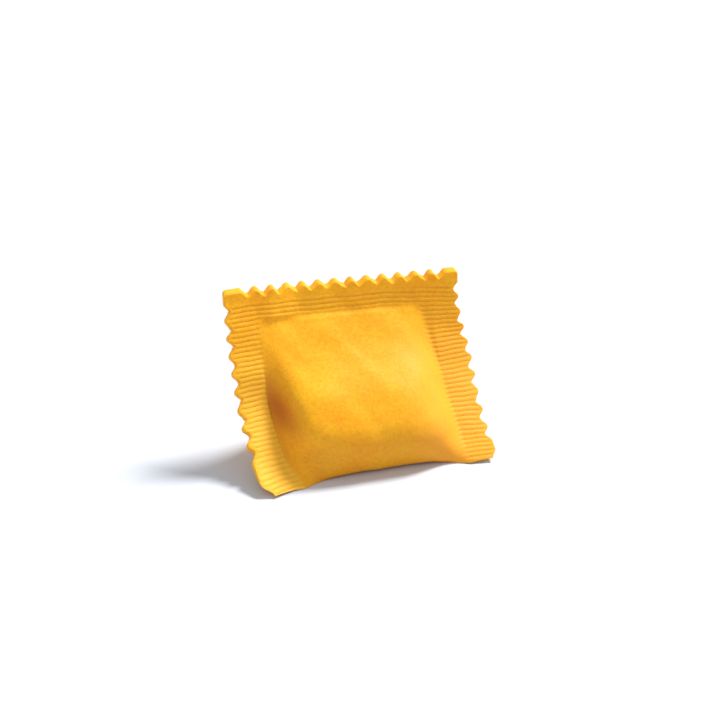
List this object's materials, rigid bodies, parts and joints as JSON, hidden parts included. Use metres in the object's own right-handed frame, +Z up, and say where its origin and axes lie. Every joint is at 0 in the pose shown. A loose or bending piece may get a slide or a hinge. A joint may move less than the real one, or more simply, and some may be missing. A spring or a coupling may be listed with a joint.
{
  "type": "raviolo",
  "caption": "One filled pasta square with a plump pocket and a toothed, ribbed border, leaning back and resting on its flat underside",
  "frame": {"origin": "on the ground, under the centre of the whole box", "axes": "X along the width of the square, Y from the shown face back to the leaning border, Z up"},
  "size_m": [0.052, 0.0296, 0.0336],
  "materials": {
    "pasta_dough": "matt raw egg dough"
  },
  "bodies": {
    "root": {"raviolo": "pasta_dough"}
  },
  "joints": []
}
